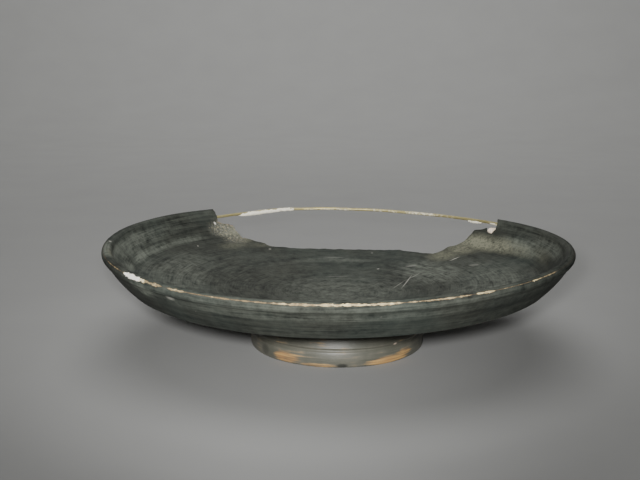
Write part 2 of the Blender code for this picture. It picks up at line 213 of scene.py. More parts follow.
# Patterns in the gloss, as size in millimetres, detail and roughness: clouds, green clouds, grit, mottling,
# crumbs, grains of lime, the nibbled edge of the wear, and white patches in it. Then what flaking lays bare.
GLOSS_PATTERNS = (
    (24, 7.0, 0.62), (40, 3.0, 0.5), (1.1, 2.0, 0.5), (4, 7.0, 0.75),
    (1.1, 5.0, 0.75), (0.9, 2.0, 0.5), (2.4, 6.0, 0.65), (1.8, 3.0, 0.5),
)
FLAKED_SHADES = ((0.0, "#464741"), (0.35, "#5d5d56"), (0.75, "#6e6e66"), (1.0, "#87877c"))

# Forms of the plate that its main sizes don't give, in metres
WALL_BULGE = 0.0006
FLOOR_EDGE_RISE = 0.0023
FOOT_ROOT_THICKNESS = 0.0078
FLAT_CENTRE_RADIUS = 0.010
FLOOR_CURVE = 1.6
CORNER_SIZE = 0.0035
CARINATION_SOFTNESS = 0.0006
UNDERSIDE_HOLLOW = 0.0010
FOOT_EDGE = 0.0006
FOOT_BELLY = 0.0003
FOOT_BELLY_HEIGHT = 0.0035
FOOT_GROOVE_HEIGHT = 0.0078
FOOT_GROOVE_WIDTH = 0.0020
FOOT_GROOVE_DEPTH = 0.0009
FOOT_RIDGE_INSET = 0.0002
FOOT_RIDGE_SLOPE = 0.0008
FOOT_NECK_INSET = 0.0024
FOOT_ROOT_SOFTNESS = 0.0010
FOOT_INNER_SLOPE = 0.0030
FOOT_INNER_SOFTNESS = 0.0030

# Fineness of the meshes
TURNING_STEPS = 560
PROFILE_STEP = 0.0021
BREAK_STEP = 0.0008
BREAK_OUTSIDE_STEPS = 6
HOLE_ROUTE_STEPS = 60
HOLE_POINTS = 6
HOLE_SIDES = 12
WIRE_STEPS = 240
WIRE_SIDES = 16
CRUST_STEPS_PER_DEGREE = 4
CRUST_SIDES = 20
STAGE_STEPS = 96
STAGE_CURVE_STEPS = 16
MERGE = 0.000002

# How wide the lip's full wear is to either side, and the wire's room in its hole
WEAR_REACH = 0.00052
WIRE_ROOM = 0.0001

# Bare, stained and chipped places on the foot, as marks are
FOOT_BARE = (
    ((-0.0241, -0.0343, 0.0028), -35, (0.0095, 0.0045, 0.0032), 1.35),
    ((-0.009, -0.041, 0.0009), -12, (0.011, 0.003, 0.0013), 1.1),
    ((0.0228, -0.0351, 0.0018), 33, (0.0155, 0.006, 0.0024), 1.4),
    ((0.03, -0.029, 0.0035), 46, (0.0075, 0.004, 0.0022), 1),
)
FOOT_STAINS = (
    ((0.0016, -0.0419, 0.001), 2, (0.0032, 0.0016, 0.0013), 0.75),
    ((-0.0334, -0.0252, 0.0035), -53, (0.0036, 0.002, 0.003), 0.4),
)
FOOT_CHIPS = (
    ((0.0262, -0.0326, 0.0083), 39, (0.0015, 0.0012, 0.0007), 0.8),
)

# Film of plaster on the wire: middle azimuth, half its length in degrees, strength, and 1 where it is below.
# Then how thick it is, and the size of its grains.
WIRE_FILM = (
    (126, 3.5, 0.25, 0),
    (112, 12, 0.3, 0),
    (92, 12, 0.52, 1),
    (86, 6, 0.35, 0),
    (74, 8, 0.4, 0),
    (62, 8, 0.55, 0),
    (54, 6, 0.4, 0),
    (41, 5, 0.3, 0),
    (35.8, 1.6, 0.9, 1),
)
FILM_DEPTH = 0.00022
FILM_GRAIN = 0.0013

# Crusts of plaster: name, solid, first and last azimuth, radii and drops at equal steps between them
CRUSTS = (
    ("plaster_on_the_left", "plaster_crust_left", 121.8, 101.5,
     (0.001, 0.0013, 0.0012, 0.001, 0.0009), (0.0006, 0.0006, 0.0004, 0.0001, 0)),
    ("plaster_on_the_right", "plaster_crust_right", 45.8, 40.4,
     (0.0006, 0.0009, 0.0009, 0.0009, 0.0006), (0.0006, 0.0008, 0.0009, 0.0008, 0.0006)),
)
LUMP_AZIMUTH = 35.2
LUMP_LENGTH = 0.0066
LUMP_DEPTH = 0.0048
LUMP_HEIGHT = 0.0036
LUMP_DROP = 0.0041
LUMP_INSET = 0.0018
LUMP_PINK = 0.75
CRUST_CRUMBLE = 0.0003
LUMP_CRUMBLE = 0.0004
CRUMB_SIZE = 0.0019
FINE_CRUMB_SIZE = 0.0008

# Stage: the paper's flat radius, the curve up to its wall, and its wall's height. Then each light's name,
# kind, place, aim, size and power, the world and the camera.
STAGE_FLAT = 1.15
STAGE_CURVE = 0.7
STAGE_HEIGHT = 1.9
LIGHTS = (
    ("front light", "SPOT", (-0.018, -0.395, 0.140), (-0.02, 0.30, 0.115), 0.012, 14.5),
    ("backdrop light", "AREA", (0.0, 1.00, 1.30), (0.0, 1.9, 0.35), 0.8, 13.0),
    ("overhead light", "AREA", (0.0, -0.1, 1.4), (0.0, 0.0, 0.0), 1.3, 10.0),
)
SPOT_CONE = 66.0
WORLD_STRENGTH = 0.13
WORLD_COLOUR = "#e8e8ea"
CAMERA_LENS = 50.0
CAMERA_SENSOR = 36.0
CAMERA_PLACE = (-0.00837, -0.41968, 0.13300)
CAMERA_PITCH = 11.187
CAMERA_ROLL = 0.116
MILLIMETRE = 0.001


def length(name, description, default):
    """A length that a user can change."""
    return FloatProperty(name=name, description=description, default=default, unit="LENGTH")


class PlateSizes(bpy.types.PropertyGroup):
    """Sizes of the turned plate and of its wire."""

    rim_radius: length("Rim radius", "From the turning axis to the outermost point of the lip", 0.1105)
    rim_height: length("Rim height", "From the table to the top of the lip", 0.0502)
    lip_thickness: length("Lip thickness", "Thickness of the rounded lip", 0.0046)
    wall_thickness: length("Wall thickness", "Thickness of the flaring wall", 0.0036)
    wall_height: length("Wall height", "From the edge under the wall to the top of the lip", 0.0169)
    wall_flare: length("Wall flare", "How far the lip reaches out past the edge under the wall", 0.0113)
    floor_dip: length("Floor dip", "How far the floor's centre lies below its edge", 0.0121)
    floor_thickness: length("Floor thickness", "Thickness of the clay inside the foot", 0.0065)
    foot_radius: length("Foot radius", "Outer radius of the ring foot", 0.0418)
    foot_rest_width: length("Foot rest width", "Width of the ring that touches the table", 0.0065)
    wire_diameter: length("Wire diameter", "Thickness of the brass wire", 0.0016)


def linear(code):
    """Linear colour of an sRGB hex value."""
    channels = [int(code[place:place + 2], 16) / 255 for place in (1, 3, 5)]
    return tuple(c / 12.92 if c <= 0.04045 else ((c + 0.055) / 1.055) ** 2.4 for c in channels) + (1.0,)


def colour(name, description, code):
    """A colour that a user can change."""
    return FloatVectorProperty(
        name=name, description=description, subtype="COLOR", size=4, min=0.0, max=1.0, default=linear(code))


class PlateColours(bpy.types.PropertyGroup):
    """Colours of the clay, its gloss, the wire, the plaster and the stage."""

    gloss: colour("Gloss", "Black gloss where it is thick", "#161816")
    gloss_thin: colour("Thin gloss", "Gloss where the brush left it thin or it has worn", "#2e2f2a")
    gloss_green: colour("Greenish gloss", "Greenish cloudiness in the gloss", "#2a3330")
    dust: colour("Dust", "Khaki dust and lime in the corners and near the break", "#737363")
    # The veil colour is partly painted light and painted sheen that brighten the gloss
    veil: colour("Veil", "Thin grey veil of dust and scratches on the gloss", "#676b62")
    lime: colour("Lime", "Whitest grains and marks", "#f4f0e4")
    clay: colour("Clay", "Fired clay where it is bare", "#8f6a42")
    clay_worn: colour("Worn clay", "Rubbed and dirty clay on the lip", "#76684e")
    clay_pale: colour("Pale clay", "Rubbed clay on the lip", "#9d8f6e")
    clay_gold: colour("Golden clay", "Fired clay where it is bare on the foot", "#ab8a56")
    cream: colour("Cream", "Lime that has soaked into the rubbed clay", "#cfc193")
    clay_dark: colour("Dark clay", "Fringe of stained clay around the wear", "#4f4032")
    wash: colour("Wash", "Thin greyish wash on the foot", "#605e54")
    # The darker wash also paints the shade under the plate at the top of the foot
    darker_wash_and_shade: colour("Dark wash", "Thicker wash at the top of the foot", "#4e4e45")
    brass: colour("Brass", "Old brass of the wire", "#b9ad7a")
    brass_dark: colour("Dark brass", "Tarnish on the wire", "#8f8760")
    plaster: colour("Plaster", "Old plaster", "#e9e4d0")
    plaster_pink: colour("Pinkish plaster", "Stained plaster at the right", "#ecd6c0")
    paper: colour("Backdrop", "Paper of the floor and backdrop", "#989896")


def carination(s):
    """Radius and height of the edge between wall and underside."""
    return s.rim_radius - s.wall_flare, s.rim_height - s.wall_height


def lip_middle(s):
    """Radius and height of the centre of the lip's round section."""
    return s.rim_radius - s.lip_thickness / 2, s.rim_height - s.lip_thickness / 2


def lip_crest(s):
    """Radius and height of the lip's upper outer shoulder, which rubs off first."""
    radius, height = lip_middle(s)
    reach = s.lip_thickness / 2 * math.sqrt(0.5)
    return radius + reach, height + reach


def floor_edge(s):
    """Radius and height where the floor meets the inner face of the wall."""
    radius, height = carination(s)
    top_radius, top_height = lip_middle(s)
    slope = math.atan2(top_height - height, top_radius - radius)
    outer_radius = radius + FLOOR_EDGE_RISE / math.tan(slope)
    return outer_radius - s.wall_thickness / math.sin(slope), height + FLOOR_EDGE_RISE


def floor_height(s, radius):
    """Height of the floor's upper face at a distance from the axis."""
    edge_radius, edge_height = floor_edge(s)
    share = max(0.0, (radius - FLAT_CENTRE_RADIUS) / (edge_radius - FLAT_CENTRE_RADIUS))
    return edge_height - s.floor_dip * (1 - share**FLOOR_CURVE)


def inner_height(s, radius):
    """Height of the upper face of floor or wall at a distance from the axis."""
    edge_radius, edge_height = floor_edge(s)
    if radius <= edge_radius:
        return floor_height(s, radius)
    top_radius, top_height = lip_middle(s)
    share = (radius - edge_radius) / (top_radius - edge_radius)
    return edge_height + (top_height - edge_height) * min(share, 1.0)


def soft_corner(before, corner, after, size, steps):
    """Points of a curve that rounds a corner, starting and ending a given size away from it."""
    corner = Vector(corner)
    start = corner + (Vector(before) - corner).normalized() * size
    end = corner + (Vector(after) - corner).normalized() * size
    shares = [step / steps for step in range(steps + 1)]
    return [tuple(start * (1 - t) ** 2 + corner * 2 * t * (1 - t) + end * t**2) for t in shares]


def bulged(start, end, bulge, steps):
    """Points between two others on a shallow arch that stands out by the bulge, to the left of the way."""
    start, end = Vector(start), Vector(end)
    way = (end - start).normalized()
    side = Vector((-way.y, way.x))
    shares = [step / steps for step in range(1, steps)]
    return [tuple(start.lerp(end, t) + side * bulge * 4 * t * (1 - t)) for t in shares]


def upper_profile(s):
    """Floor, inner wall and lip, from the axis to the lip's outer underside."""
    edge = floor_edge(s)
    middle = Vector(lip_middle(s))
    foot_of_wall = Vector(carination(s))
    slope = math.atan2(middle.y - foot_of_wall.y, middle.x - foot_of_wall.x)
    radius = s.lip_thickness / 2
    spread = math.asin(min(1.0, s.wall_thickness / s.lip_thickness))
    first = slope + math.pi - spread
    last = slope - math.pi + spread
    lip_steps = 18
    angles = [first + (last - first) * step / lip_steps for step in range(lip_steps + 1)]
    lip = [(middle.x + radius * math.cos(a), middle.y + radius * math.sin(a)) for a in angles]
    curve_end = edge[0] - CORNER_SIZE
    floor_steps = round((curve_end - FLAT_CENTRE_RADIUS) / PROFILE_STEP)
    points = [(0.0, floor_height(s, 0.0)), (FLAT_CENTRE_RADIUS / 2, floor_height(s, 0.0))]
    for step in range(floor_steps):
        at = FLAT_CENTRE_RADIUS + (curve_end - FLAT_CENTRE_RADIUS) * step / floor_steps
        points.append((at, floor_height(s, at)))
    before = (curve_end, floor_height(s, curve_end))
    corner = soft_corner(before, edge, lip[0], CORNER_SIZE, 6)
    return points + corner + bulged(corner[-1], lip[0], 0.0, 6) + lip


def lower_profile(s, lip_end):
    """Outer wall, underside, moulded foot and the hollow in it, from the lip down and back to the axis."""
    edge = carination(s)
    neck_radius = s.foot_radius - FOOT_NECK_INSET
    root = (neck_radius + FOOT_ROOT_SOFTNESS, floor_height(s, neck_radius) - FOOT_ROOT_THICKNESS)
    groove_top = FOOT_GROOVE_HEIGHT + FOOT_GROOVE_WIDTH / 2
    groove_bottom = FOOT_GROOVE_HEIGHT - FOOT_GROOVE_WIDTH / 2
    groove_radius = s.foot_radius - FOOT_GROOVE_DEPTH
    ridge_radius = s.foot_radius - FOOT_RIDGE_INSET
    neck = (neck_radius, (root[1] + groove_top + FOOT_RIDGE_SLOPE) / 2)
    inner = s.foot_radius - s.foot_rest_width
    ceiling = floor_height(s, 0.0) - s.floor_thickness
    shoulder = (inner - FOOT_INNER_SLOPE, ceiling)
    wall = soft_corner(lip_end, edge, root, CARINATION_SOFTNESS, 5)
    points = bulged(lip_end, wall[0], WALL_BULGE, 12) + wall
    points += bulged(wall[-1], root, -UNDERSIDE_HOLLOW, 26)
    points += soft_corner(edge, root, neck, FOOT_ROOT_SOFTNESS, 4)
    corners = [
        (neck, 0.0008),
        ((ridge_radius - FOOT_RIDGE_SLOPE / 2, groove_top + FOOT_RIDGE_SLOPE), 0.0003),
        ((ridge_radius, groove_top), 0.0003),
        ((groove_radius, FOOT_GROOVE_HEIGHT), 0.0004),
        ((s.foot_radius, groove_bottom), 0.0004),
        ((s.foot_radius + FOOT_BELLY, FOOT_BELLY_HEIGHT), 0.0012),
        ((s.foot_radius, FOOT_EDGE), 0.0004),
        ((s.foot_radius - FOOT_EDGE, 0.0), 0.0002),
        ((inner + FOOT_EDGE, 0.0), 0.0002),
        ((inner, FOOT_EDGE), 0.0004),
        (shoulder, FOOT_INNER_SOFTNESS),
    ]
    places = [points[-1]] + [place for place, softness in corners] + [(0.0, ceiling)]
    for (place, softness), before, after in zip(corners, places, places[2:]):
        points += soft_corner(before, place, after, softness, 3)
    points += [(inner * share, ceiling) for share in (0.75, 0.55, 0.35, 0.15)]
    return points + [(0.0, ceiling)]


def polar(azimuth, radius, height=0.0):
    """The point at an azimuth, a distance from the axis and a height."""
    angle = math.radians(azimuth)
    return Vector((radius * math.cos(angle), radius * math.sin(angle), height))


def warp_lift(s, x, y):
    """Height that the warp adds at the rim's level. Works on numbers and on arrays."""
    x, y = x / s.rim_radius, y / s.rim_radius
    return WARP_BACK * y - WARP_LEFT * x - WARP_DIAGONAL * x * y + WARP_SADDLE * (x * x - y * y)


def warp(s, places):
    """Move the places of the turned shape, an array, to where the firing left them. The foot stays flat."""
    radius = np.hypot(places[:, 0], places[:, 1])
    neck = floor_height(s, s.foot_radius) - FOOT_ROOT_THICKNESS
    rise = np.clip(2 * (places[:, 2] / neck - 0.5), 0, 1) * np.clip(radius / s.foot_radius, 0, 1)
    places[:, 2] += warp_lift(s, places[:, 0], places[:, 1]) * rise


def break_outline(s):
    """The rough break line, as in the solid, with finer steps and splinters between its points."""
    corners = [polar(azimuth, share * s.rim_radius) for azimuth, share in BREAK_LINE]
    rng = random.Random(BREAK_SEED)
    rough = []
    for start, end in zip(corners, corners[1:]):
        way = end - start
        side = Vector((-way.y, way.x, 0)).normalized()
        steps = max(1, round(way.length / BREAK_GRAIN))
        rough.append(start)
        for step in range(1, steps):
            splinter = side * rng.uniform(-BREAK_ROUGHNESS, BREAK_ROUGHNESS)
            rough.append(start.lerp(end, step / steps) + splinter)
    rough.append(corners[-1])
    fine = []
    for start, end in zip(rough, rough[1:]):
        steps = max(1, round((end - start).length / BREAK_STEP))
        fine += [start.lerp(end, step / steps) for step in range(steps)]
    return fine + [rough[-1]]


def smooth_through(values, t):
    """Value at t, from 0 to 1, on a smooth curve through equally spaced values."""
    place = t * (len(values) - 1)
    index = min(int(place), len(values) - 2)
    u = place - index
    a = values[max(index - 1, 0)]
    b = values[index]
    c = values[index + 1]
    d = values[min(index + 2, len(values) - 1)]
    return b + 0.5 * u * (c - a + u * (2 * a - 5 * b + 4 * c - d + u * (3 * (b - c) + d - a)))


def wire_middle(s, azimuth):
    """The point of the wire's middle at an azimuth between its two mouths in the lip."""
    radius, height = lip_middle(s)
    base_radius, base_height = carination(s)
    lean = (radius - base_radius) / (height - base_height)
    ends = []
    for mouth, drop in ((WIRE_MOUTH_LEFT, WIRE_DROP_LEFT), (WIRE_MOUTH_RIGHT, WIRE_DROP_RIGHT)):
        at = polar(mouth, radius)
        ends.append((radius - drop * lean, height + warp_lift(s, at.x, at.y) - drop))
    t = (WIRE_MOUTH_LEFT - azimuth) / (WIRE_MOUTH_LEFT - WIRE_MOUTH_RIGHT)
    (left_radius, left_height), (right_radius, right_height) = ends
    radius = left_radius + (right_radius - left_radius) * t
    height = left_height + (right_height - left_height) * t + WIRE_BOW * smooth_through(WIRE_BOW_SHAPE, t)
    return polar(azimuth, radius, height)


def wire_route(s, steps):
    """Points along the wire's middle, from its buried left end to its buried right end."""
    sweep = WIRE_MOUTH_RIGHT - WIRE_MOUTH_LEFT
    points = [wire_middle(s, WIRE_MOUTH_LEFT + sweep * step / steps) for step in range(steps + 1)]
    start = points[0] + (points[0] - points[1]).normalized() * WIRE_EMBEDDED
    end = points[-1] + (points[-1] - points[-2]).normalized() * WIRE_EMBEDDED
    return [start, *points, end]


def select_only(*pieces):
    """Leave edit mode and select these pieces alone. The last one becomes the active one."""
    if bpy.context.object and bpy.context.object.mode == "EDIT":
        bpy.ops.object.mode_set(mode="OBJECT")
    bpy.ops.object.select_all(action="DESELECT")
    for piece in pieces:
        piece.select_set(True)
        bpy.context.view_layer.objects.active = piece


def draw_line(name, points):
    """Pull a single vertex out into a line through the points, and stay in edit mode."""
    select_only()
    bpy.ops.mesh.primitive_plane_add(size=MILLIMETRE, enter_editmode=True)
    bpy.context.object.name = name
    bpy.ops.mesh.select_all(action="SELECT")
    bpy.ops.mesh.merge(type="CENTER")
    bpy.ops.transform.translate(value=points[0])
    for before, after in zip(points, points[1:]):
        bpy.ops.mesh.extrude_vertices_move(TRANSFORM_OT_translate={"value": Vector(after) - Vector(before)})
    return bpy.context.object


def close_up(piece):
    """Join the vertices that meet, and turn the faces outward."""
    select_only(piece)
    bpy.ops.object.mode_set(mode="EDIT")
    bpy.ops.mesh.select_all(action="SELECT")
    bpy.ops.mesh.remove_doubles(threshold=MERGE)
    bpy.ops.mesh.normals_make_consistent(inside=False)
    bpy.ops.object.mode_set(mode="OBJECT")


def apply_last_modifier(piece):
    """Make the last modifier's result the piece's mesh."""
    bpy.ops.object.modifier_apply(modifier=piece.modifiers[-1].name)


def draw_bar(name, points, radius, sides, swell=()):
    """A round bar along the points. The swell is a share of the radius for each point."""
    select_only(draw_line(name, points))
    bpy.ops.object.convert(target="CURVE")
    curve = bpy.context.object.data
    curve.bevel_depth = radius
    curve.bevel_resolution = sides // 2 - 2
    curve.use_fill_caps = True
    for place, share in zip(curve.splines[0].points, swell):
        place.radius = share
    bpy.ops.object.convert(target="MESH")
    close_up(bpy.context.object)
    return bpy.context.object


def turn_round(piece, steps):
    """Turn the line into a closed shape round the vertical axis."""
    select_only(piece)
    bpy.ops.object.modifier_add(type="SCREW")
    modifier = piece.modifiers[-1]
    modifier.steps = modifier.render_steps = steps
    modifier.use_merge_vertices = True
    modifier.merge_threshold = MERGE
    apply_last_modifier(piece)
    close_up(piece)


def cut(piece, cutter):
    """Cut the cutter's shape out of the piece, with the cutter's finish on the cut faces."""
    select_only(piece)
    bpy.ops.object.modifier_add(type="BOOLEAN")
    modifier = piece.modifiers[-1]
    modifier.operation = "DIFFERENCE"
    modifier.solver = "EXACT"
    modifier.material_mode = "TRANSFER"
    modifier.object = cutter
    apply_last_modifier(piece)
    select_only(cutter)
    bpy.ops.object.delete()


def trim_cut(piece, finish):
    """Split the faces along a cut into triangles, and delete slivers that hang from its edge by one side.

    The triangles come in an order that changes from run to run, so they are sorted by how far out they lie.
    """
    select_only(piece)
    piece.active_material_index = piece.data.materials.find(finish.name)
    bpy.ops.object.mode_set(mode="EDIT")
    bpy.ops.mesh.select_mode(type="FACE")
    bpy.ops.mesh.select_all(action="DESELECT")
    bpy.ops.object.material_slot_select()
    bpy.ops.mesh.select_more()
    bpy.ops.mesh.select_face_by_sides(number=4, type="GREATER", extend=True)
    bpy.ops.mesh.quads_convert_to_tris(ngon_method="BEAUTY")
    bpy.ops.mesh.sort_elements(type="CURSOR_DISTANCE", elements={"FACE"})
    bpy.ops.mesh.select_all(action="DESELECT")
    bpy.ops.mesh.select_mode(type="EDGE")
    bpy.ops.mesh.select_non_manifold(extend=False, use_wire=False, use_multi_face=False,
                                     use_non_contiguous=False, use_verts=False)
    bpy.ops.mesh.select_mode(type="FACE", use_expand=True)
    bpy.ops.mesh.delete(type="FACE")
    bpy.ops.mesh.select_mode(type="VERT")
    bpy.ops.object.mode_set(mode="OBJECT")


def read_vertices(piece):
    """The places of the piece's vertices and the directions in which they face, as arrays."""
    places, normals = np.empty((2, len(piece.data.vertices) * 3))
    piece.data.vertices.foreach_get("co", places)
    piece.data.vertex_normals.foreach_get("vector", normals)
    return places.reshape(-1, 3), normals.reshape(-1, 3)


def move_vertices(piece, places):
    """Put the piece's vertices at the places."""
    piece.data.vertices.foreach_set("co", places.ravel())
    piece.data.update()


def grain(places, size, seed=0.0):
    """Smooth noise from -1 to 1 with grains of a size, at each of the places."""
    shift = Vector((seed, seed * 1.7, seed * 0.3))
    return np.array([noise.noise(Vector(place) / size + shift) for place in places])


def keep_on_vertices(piece, name, values):
    """Store values on the piece's vertices for its finish to read."""
    form = "FLOAT_VECTOR" if values.ndim == 2 else "FLOAT"
    attribute = piece.data.attributes.new(name, form, "POINT")
    attribute.data.foreach_set("vector" if values.ndim == 2 else "value", values.astype(np.float32).ravel())


def turns_from(places, azimuth):
    """Degrees from an azimuth to each of the places, the short way round."""
    azimuths = np.degrees(np.arctan2(places[:, 1], places[:, 0]))
    return np.abs((azimuths - azimuth + 180) % 360 - 180)


def patch_strength(places, patches, edge):
    """How strong the strongest of the patches is at each of the places. The edge is how softly it fades."""
    radii = np.hypot(places[:, 0], places[:, 1])
    strength = np.zeros(len(places))
    for azimuth, radius, height, azimuth_reach, radius_reach, height_reach, full in patches:
        distance = np.sqrt((turns_from(places, azimuth) / azimuth_reach) ** 2
                           + ((radii - radius) / radius_reach) ** 2
                           + ((places[:, 2] - height) / height_reach) ** 2)
        strength = np.maximum(strength, full * np.clip((1.25 - distance) / edge, 0, 1))
    return strength


def finish_mesh(piece, angle):
    """Shade the piece smoothly over edges that bend less than an angle in degrees."""
    select_only(piece)
    bpy.ops.object.shade_smooth_by_angle(angle=math.radians(angle))


def hand_over(piece, node):
    """Let the piece stand for a solid of the frame, and move with it."""
    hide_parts(node)
    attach(piece, "root")


def add_node(tree, kind, links=(), out=0, stops=(), **settings):
    """Add a node and return one of its outputs. The kind may have an operation after a dot.

    The links give each socket an output or a value, by the socket's name or number or in the sockets' order.
    """
    kind, *operation = kind.split(".")
    node = tree.nodes.new("ShaderNode" + kind)
    for value in operation:
        node.operation = value
    for name, value in settings.items():
        setattr(node, name, value)
    for socket, value in links.items() if isinstance(links, dict) else enumerate(links):
        if isinstance(value, bpy.types.NodeSocket):
            tree.links.new(value, node.inputs[socket])
        else:
            node.inputs[socket].default_value = value
    for number, (place, shade) in enumerate(stops):
        elements = node.color_ramp.elements
        element = elements[number] if number < len(elements) else elements.new(1.0)
        element.position = place
        element.color = shade
    return node.outputs[out]


def new_material(name):
    """A material, its shader, and the function that adds a node to it."""
    material = bpy.data.materials.new(name)
    material.use_nodes = True
    tree = material.node_tree
    return material, tree.nodes["Principled BSDF"], partial(add_node, tree)


def set_shader(shader, **values):
    """Link outputs to the shader's sockets or set their values. Underscores in names stand for spaces."""
    for name, value in values.items():
        socket = shader.inputs[name.replace("_", " ")]
        if isinstance(value, bpy.types.NodeSocket):
            shader.id_data.links.new(value, socket)
        else:
            socket.default_value = value


def marks_mask(add, turned, marks):
    """Mask of small oval marks, each at its place on the turned plate."""
    total = 0.0
    for place, direction, half_sizes, strength in marks:
        local = add("Mapping", {
            "Vector": turned, "Location": place, "Rotation": (0, 0, math.radians(direction)),
            "Scale": half_sizes}, vector_type="TEXTURE")
        away = add("VectorMath.LENGTH", (local,), out="Value")
        mark = add("MapRange", (away, 1.0, 0.5, 0.0, strength))
        total = add("Math.MAXIMUM", (mark, total))
    return total


def turned_places(add):
    """Place on the turned plate before it warped, direction round the axis, radius, height and their sum."""
    turned = add("Attribute", out="Vector", attribute_name="turned")
    flat = add("VectorMath.MULTIPLY", (turned, (1, 1, 0)))
    around = add("VectorMath.NORMALIZE", (flat,))
    radius = add("VectorMath.LENGTH", (flat,), out="Value")
    height = add("SeparateXYZ", (turned,), out="Z")
    return turned, around, radius, height, add("Math.ADD", (radius, height))


def turning_streaks(add, around, section, width, stretch, detail):
    """Noise drawn out into streaks of a width that run round the axis."""
    across = add("Math.MULTIPLY", (section, 1 / (width * MILLIMETRE)))
    lift = add("CombineXYZ", {"Z": across})
    place = add("VectorMath.MULTIPLY_ADD", (around, (stretch, stretch, 0), lift))
    return add("TexNoise", {"Vector": place, "Scale": 1.0, "Detail": detail})


def gloss_material(s, c):
    """Black gloss: a fine slip brushed on the turning plate and fired black.

    It gives a satin, nearly black skin with fine streaks that run round the axis, greenish clouds, rubbed
    pale clay along the lip, and khaki dust near the break and in the corner under the wall.
    """
    material, shader, add = new_material("brushed and fired black gloss slip")
    turned, around, radius, height, section = turned_places(add)
    wear, white, dust, flaked, veil = [
        add("Attribute", out="Fac", attribute_name=name)
        for name in ("wear", "white", "dust", "flaked", "veil")]
    fine = turning_streaks(add, around, section, 0.8, 6.0, 4.0)
    broad = turning_streaks(add, around, section, 4.5, 1.6, 2.0)
    cloud, green, grit, mottle, crumbs, lime_grains, nibble, patchy = [
        add("TexNoise", {"Vector": turned, "Scale": 1 / (size * MILLIMETRE), "Detail": detail,
                         "Roughness": roughness})
        for size, detail, roughness in GLOSS_PATTERNS]

    # Where the brush left the slip thin it shows brownish grey, and thick slip is blacker and smoother
    tone = add("Math.MULTIPLY_ADD", (fine, 1.1, cloud))
    tone = add("Math.MULTIPLY_ADD", (broad, 0.45, tone))
    thin = add("MapRange", (tone, 1.05, 1.55))
    greenish = add("MapRange", (green, 0.45, 0.70, 0.0, 0.5))

    # A thin veil of dust and dry streaks lies on top of the slip, its grey partly painted light and painted
    # sheen, and khaki dust in the corners
    dry = add("Math.MULTIPLY_ADD", (fine, 0.55, mottle))
    dry = add("Math.MULTIPLY_ADD", (broad, 0.35, dry))
    dry = add("MapRange", (dry, 0.70, 1.26))
    dry = add("Math.MULTIPLY", (dry, veil))
    grains = add("Math.ADD", (grit, mottle))
    grains = add("MapRange", (grains, 0.66, 1.22, 0.15, 1.6))
    dusty = add("Math.MULTIPLY", (dust, grains), use_clamp=True)

    # Flaked places are pitted down to the clay and full of dirt and grains of lime
    pits = add("MapRange", (crumbs, 0.36, 0.66))
    pitted = add("ValToRGB", (pits,), stops=[(place, linear(code)) for place, code in FLAKED_SHADES])
    open_pits = add("MapRange", (crumbs, 0.35, 0.55, 0.2, 1.0))
    opened = add("Math.MULTIPLY", (flaked, open_pits))
    specks = add("MapRange", (lime_grains, 0.54, 0.72, 0.0, 0.45))
    specks = add("Math.MULTIPLY", (specks, opened))
    marked = add("Math.MULTIPLY", (marks_mask(add, turned, MARKS), 0.55))

    # The lip's shoulder is rubbed down to pale clay with a stained fringe
    spot = add("CombineXYZ", (radius, height))
    away = add("VectorMath.DISTANCE", (spot, (*lip_crest(s), 0)), out="Value")
    nibble = add("MapRange", (nibble, 0.34, 0.66, 0.25, 1.75))
    whole = add("MapRange", (wear, 1.2, 2.2, 0.0, 0.6))
    nibble = add("Mix", {0: whole, 2: nibble, 3: 1.0})
    reach = add("Math.MULTIPLY", (wear, nibble))
    worn = add("Math.MULTIPLY_ADD", (away, -1 / WEAR_REACH, reach))
    bare = add("MapRange", (worn, 0.05, 0.32))
    fringe = add("MapRange", (worn, -0.22, 0.10, 0.0, 0.9))
    whiter = add("Math.ADD", (white, patchy))
    whiter = add("MapRange", (whiter, 0.70, 1.35))
    pale = add("ValToRGB", (whiter,), stops=(
        (0.0, c.clay_worn), (0.35, c.clay_pale), (0.70, c.cream), (1.0, c.lime)))

    ground = c.gloss
    for share, shade in ((thin, c.gloss_thin), (greenish, c.gloss_green), (dry, c.veil), (dusty, c.dust),
                         (opened, pitted), (specks, c.cream), (marked, c.lime), (fringe, c.clay_dark),
                         (bare, pale)):
        ground = add("Mix", {0: share, 6: ground, 7: shade}, out=2, data_type="RGBA")

    # All that lies on the gloss or bares the clay is matt, and handling has dulled the lip
    matt = dusty
    for other in (opened, bare, marked):
        matt = add("Math.MAXIMUM", (matt, other))
    rough = add("MapRange", (tone, 1.0, 1.8, 0.62, 0.80))
    rough = add("Math.MULTIPLY_ADD", (matt, 0.40, rough))
    handled = add("MapRange", (away, 0.8 * MILLIMETRE, 3.0 * MILLIMETRE, 0.35, 0.0))
    rough = add("Math.ADD", (rough, handled), use_clamp=True)
    relief = add("Math.MULTIPLY_ADD", (fine, 0.6, grit))
    pitting = add("Math.MULTIPLY", (opened, crumbs))
    relief = add("Math.MULTIPLY_ADD", (pitting, 5.0, relief))
    bump = add("Bump", {"Distance": 0.04 * MILLIMETRE, "Height": relief})
    set_shader(shader, Base_Color=ground, Roughness=rough, Normal=bump, Specular_IOR_Level=0.12)
    return material


